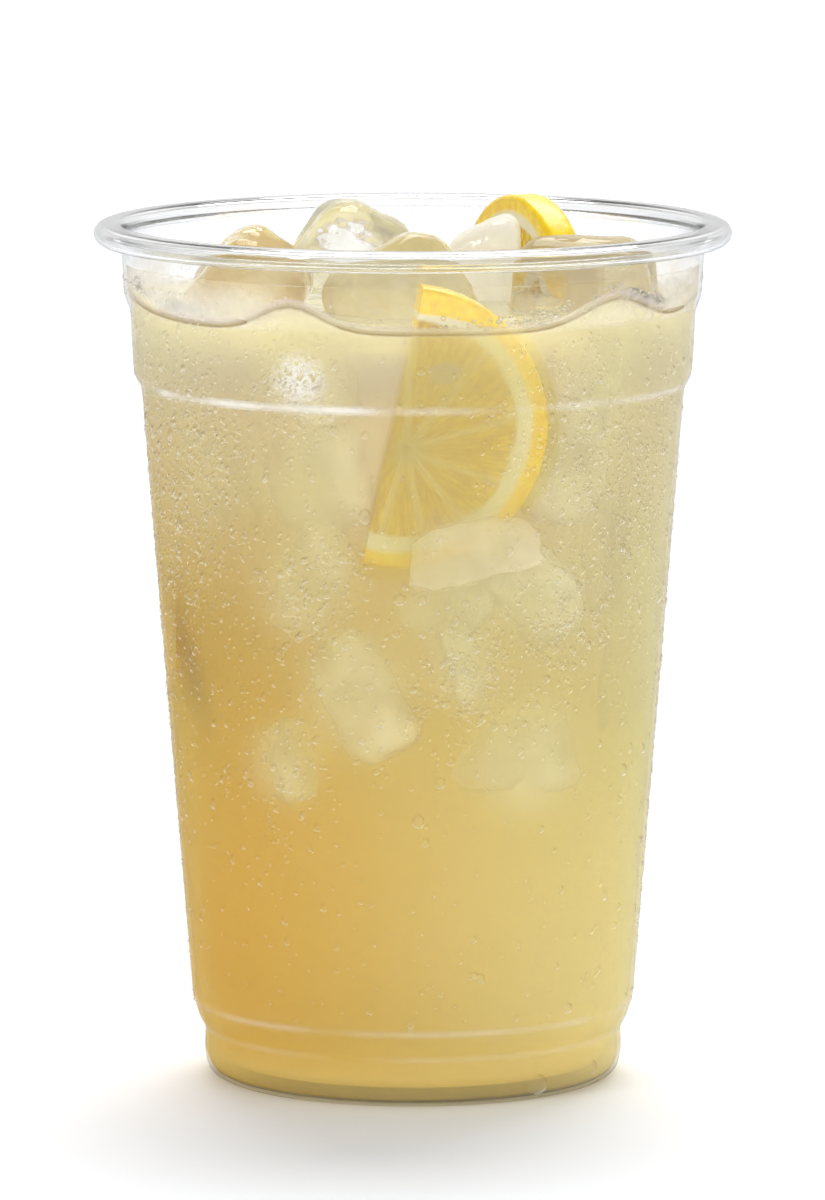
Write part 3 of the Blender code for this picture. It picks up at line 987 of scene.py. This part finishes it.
def make_slices():
    cut = Vector((math.cos(FRONT_SLICE_CUT_LEAN), 0.0, -math.sin(FRONT_SLICE_CUT_LEAN)))
    front = slice_wheel(
        "front_slice", FRONT_SLICE_RADIUS, FRONT_SLICE_WALLS, FRONT_SLICE_CORE_DROP, cut
    )
    place(front, at(FRONT_SLICE_CENTRE, FRONT_SLICE_TURNS))
    skin = (colour(248, 204, 4), colour(255, 226, 30))
    look = lemon_finish(
        "lemon, front slice", FRONT_SLICE_RADIUS, FRONT_SLICE_CORE_DROP, FRONT_SLICE_WALLS, *skin
    )
    finish_piece(front, (look,), "lemon_slice_front")

    back = slice_wheel("back_slice", BACK_SLICE_RADIUS, BACK_SLICE_WALLS)
    place(back, at(BACK_SLICE_CENTRE, BACK_SLICE_TURNS))
    look = lemon_finish("lemon, back slice", BACK_SLICE_RADIUS, 0.0, BACK_SLICE_WALLS, *skin)
    finish_piece(back, (look,), "lemon_slice_back")

    sunk = slice_wheel("sunk_slice", SUNK_SLICE_RADIUS, BACK_SLICE_WALLS)
    place(sunk, at(SUNK_SLICE_CENTRE, SUNK_SLICE_TURNS))
    skin = (colour(206, 160, 50), colour(224, 186, 84))
    look = lemon_finish("lemon, sunk slice", SUNK_SLICE_RADIUS, 0.0, BACK_SLICE_WALLS, *skin)
    finish_piece(sunk, (look,))


# Drops and bubbles


def outer_radius(height):
    return inner_radius(height) + WALL


def scatter(name, spots, detail, materials, wall_side=None):
    """Copies one bead to each spot: a place, the way it faces and its width, depth and height.

    What is further back than wall_side, as a share of the depth, gets the second material."""
    deselect()
    bpy.ops.mesh.primitive_ico_sphere_add(subdivisions=detail, radius=1.0)
    bead = bpy.context.object
    corners = [vert.co.copy() for vert in bead.data.vertices]
    sides = [tuple(face.vertices) for face in bead.data.polygons]
    bpy.data.objects.remove(bead, do_unlink=True)
    points = []
    faces = []
    for spot, facing, size, roll in spots:
        turn = facing.to_track_quat("Y", "Z").to_matrix().to_4x4() @ Matrix.Rotation(roll, 4, "Y")
        matrix = Matrix.Translation(spot) @ turn @ Matrix.Diagonal((*size, 1.0))
        first = len(points)
        points += [matrix @ corner for corner in corners]
        faces += [[first + corner for corner in side] for side in sides]
    mesh = bpy.data.meshes.new(name)
    mesh.from_pydata(points, [], faces)
    smooth(mesh)
    if wall_side:
        sums = [corners[side[0]] + corners[side[1]] + corners[side[2]] for side in sides]
        hidden = [corner_sum.y / 3.0 < wall_side for corner_sum in sums]
        for number, polygon in enumerate(mesh.polygons):
            polygon.material_index = int(hidden[number % len(sides)])
    piece = bpy.data.objects.new(name, mesh)
    bpy.context.scene.collection.objects.link(piece)
    finish_piece(piece, materials)
    piece.visible_shadow = False


def wall_spot(angle, height, radius, stretch=1.0, roll=0.0):
    """A drop on the cup's outer wall, a little less than half of it standing out."""
    turn = math.radians(angle)
    out = Vector((math.sin(turn), -math.cos(turn), 0.0))
    sunk = DROP_DEPTH * DROP_SUNK * radius
    place_at = out * (outer_radius(height) - sunk) + Vector((0.0, 0.0, height))
    return place_at, out, (radius, DROP_DEPTH * radius, radius * stretch), roll


def drop_places(chance, count):
    """Angles and heights: most in the fields, the rest anywhere below the rim."""
    spots = []
    while len(spots) < count:
        pick = chance.random()
        for angle, spread, height, rise, share in DROP_FIELDS:
            pick -= share
            if pick < 0.0:
                spots.append((chance.gauss(angle, spread), chance.gauss(height, rise)))
                break
        else:
            spots.append((chance.uniform(-180, 180), chance.uniform(12, 119)))
    return [(angle, min(max(height, 11.5), 124.0) * MM) for angle, height in spots]


def make_drops():
    inside = Finish("water against the wall")
    water = (drop_finish(), inside.done(inside.clear()))
    chance = random.Random(11)
    fine = []
    for angle, height in drop_places(chance, FINE_DROPS):
        radius = chance.uniform(0.16, 0.38) * MM
        stretch, roll = chance.uniform(1.0, 1.7), chance.gauss(-0.6, 0.5)
        fine.append(wall_spot(angle, height, radius, stretch, roll))
    scatter("fine_drops", fine, 1, water, DROP_SUNK)
    medium = []
    for angle, height in drop_places(chance, MEDIUM_DROPS):
        radius = 0.32 * MM + 0.35 * MM * chance.random() ** 2.0
        stretch, roll = chance.uniform(1.0, 1.4), chance.gauss(-0.3, 0.4)
        medium.append(wall_spot(angle, height, radius, stretch, roll))
    scatter("drops", medium, 2, water, DROP_SUNK)
    large = []
    for _ in range(LARGE_DROPS):
        angle, height = chance.uniform(-180, 180), chance.uniform(14, 104) * MM
        radius = chance.uniform(0.6, 1.0) * MM
        large.append(wall_spot(angle, height, radius, chance.uniform(1.0, 1.3)))
    large.append(wall_spot(38, 2.4 * MM, 1.9 * MM, stretch=0.9))
    large.append(wall_spot(62, 3.2 * MM, 1.2 * MM))
    scatter("large_drops", large, 2, water, DROP_SUNK)


def make_bubbles():
    white, dark = (1.0, 1.0, 1.0, 1.0), (0.2, 0.19, 0.16, 1.0)
    film = glass("bubble film", 1.2, 0.0, white, dark, 0.95, 2.0)
    chance = random.Random(5)
    spots = []
    for centre, spread, count in BUBBLE_FIELDS:
        for _ in range(count):
            angle = chance.gauss(centre, spread)
            turn = math.radians(angle)
            out = Vector((math.sin(turn), -math.cos(turn), 0.0))
            reach = inner_radius(LEVEL) - chance.uniform(0.3, 2.0) * MM
            base = out * reach
            lift = climb(base.x, base.y) + chance.uniform(0.0, 2.2) * MM
            radius = chance.uniform(0.18, 0.42) * MM
            spots.append((base + Vector((0, 0, LEVEL + lift)), out, (radius, radius, radius), 0.0))
    for _ in range(LOOSE_BUBBLES):
        turn, reach = chance.uniform(0, 2 * math.pi), 40.0 * MM * math.sqrt(chance.random())
        base = Vector((math.sin(turn) * reach, -math.cos(turn) * reach, LEVEL))
        base.z += climb(base.x, base.y)
        radius = chance.uniform(0.15, 0.5) * MM
        spots.append((base, Vector((0, -1, 0)), (radius, radius, radius), 0.0))
    scatter("bubbles", spots, 2, (film,))


# The room


def make_floor():
    deselect()
    bpy.ops.mesh.primitive_plane_add(size=16.0, location=(0.0, 0.0, 0.0))
    floor = bpy.context.object
    floor.name = "floor"
    finish = Finish("pale floor")
    body = finish.add("ShaderNodeBsdfDiffuse", sockets={"Color": FLOOR_TONE})
    floor.data.materials.append(finish.done(body.outputs[0]))


def lamp(name, place_at, target, size, power):
    light = bpy.data.lights.new(name, "AREA")
    light.shape = "RECTANGLE"
    light.size, light.size_y = size
    light.energy = power
    lamp_object = bpy.data.objects.new(name, light)
    bpy.context.scene.collection.objects.link(lamp_object)
    lamp_object.location = place_at
    aim = Vector(target) - Vector(place_at)
    lamp_object.rotation_euler = aim.to_track_quat("-Z", "Y").to_euler()


def make_room():
    make_floor()
    scene = bpy.context.scene
    studio = Finish("studio", "worlds")
    x, y, z = studio.axes(studio.coordinates("Generated"))
    glows = []
    for strength in (WALLS_GLOW, CEILING_GLOW, 0.0):
        glow = studio.add("ShaderNodeBackground", sockets={"Strength": strength})
        glow.inputs["Color"].default_value = (1.0, 1.0, 1.0, 1.0)
        glows.append(glow.outputs[0])
    air = studio.blend(z.between(0.35, 0.75), glows[0], glows[1])
    shade = LEFT_SHADE * x.between(-0.45, -0.95) + RIGHT_SHADE * x.between(0.8, 0.98)
    air = studio.blend(shade, air, glows[2])
    studio.add("ShaderNodeOutputWorld", sockets={"Surface": air})
    scene.world = studio.material
    sun = bpy.data.lights.new("soft light from behind", "SUN")
    sun.energy = SUN_POWER
    sun.angle = math.radians(SUN_SPREAD)
    sun_object = bpy.data.objects.new("soft light from behind", sun)
    scene.collection.objects.link(sun_object)
    sun_object.rotation_euler = [math.radians(turn) for turn in SUN_TURNS]
    lamp("left softbox", SOFTBOX_PLACE, SOFTBOX_TARGET, SOFTBOX_SIZE, SOFTBOX_POWER)
    scene.view_settings.view_transform = "Standard"
    scene.view_settings.exposure = 0.0
    scene.cycles.max_bounces = 10
    scene.cycles.volume_bounces = 6
    scene.cycles.transmission_bounces = 8
    scene.cycles.transparent_max_bounces = 20


def make_camera():
    camera = bpy.data.objects.new("camera", bpy.data.cameras.new("camera"))
    bpy.context.scene.collection.objects.link(camera)
    camera.location = (0.0, -CAMERA_BACK, CAMERA_HEIGHT)
    camera.rotation_euler = (math.radians(90.0 - CAMERA_PITCH), 0.0, 0.0)
    camera.data.lens = CAMERA_LENS
    camera.data.sensor_width = CAMERA_SENSOR
    camera.data.shift_x = CAMERA_SHIFT
    bpy.context.scene.camera = camera


make_camera()
make_room()
make_cup()
make_drink()
make_core()
make_surface_ice()
make_sunk_ice()
make_slices()
make_drops()
make_bubbles()
